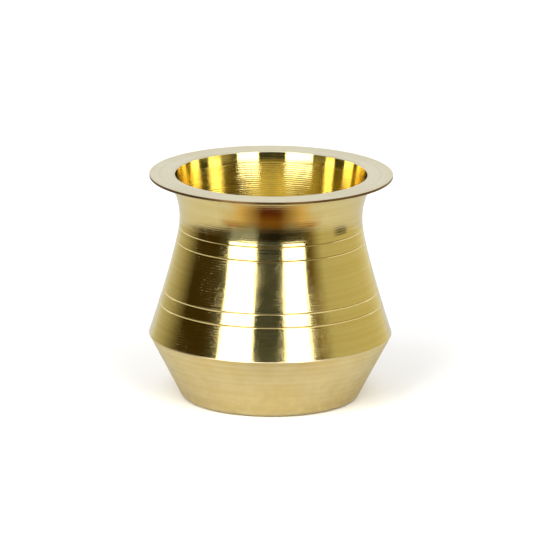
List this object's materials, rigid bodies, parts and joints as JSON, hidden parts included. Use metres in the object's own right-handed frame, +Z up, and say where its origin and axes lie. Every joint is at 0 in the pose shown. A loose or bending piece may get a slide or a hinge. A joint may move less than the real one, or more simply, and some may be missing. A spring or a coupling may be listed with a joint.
{
  "type": "lota",
  "caption": "Small open metal water pot with a flat flanged mouth, flared neck, wall widening to a crisp shoulder and a short cone down to a flat base; holds and pours water.",
  "frame": {"origin": "centre of the standing ring, on the surface that the lota stands on", "axes": "+Z up along the turning axis, towards the mouth; X and Y are interchangeable on a turned piece"},
  "size_m": [0.076, 0.076, 0.0713],
  "materials": {
    "rim_brass": "finely turned brass, satin",
    "wall_brass": "polished brass with fine turning lines and hairline scratches",
    "bowl_brass": "turned brass, satin, with handling smudges",
    "base_brass": "turned brass with concentric tool marks, slightly dull",
    "braze": "paler braze, dressed smooth"
  },
  "bodies": {
    "root": {"mouth_rim": "rim_brass", "upper_body": "wall_brass", "lower_bowl": "bowl_brass", "base_plate": "base_brass", "rim_braze": "braze", "shoulder_braze": "braze", "base_braze": "braze"}
  },
  "joints": []
}
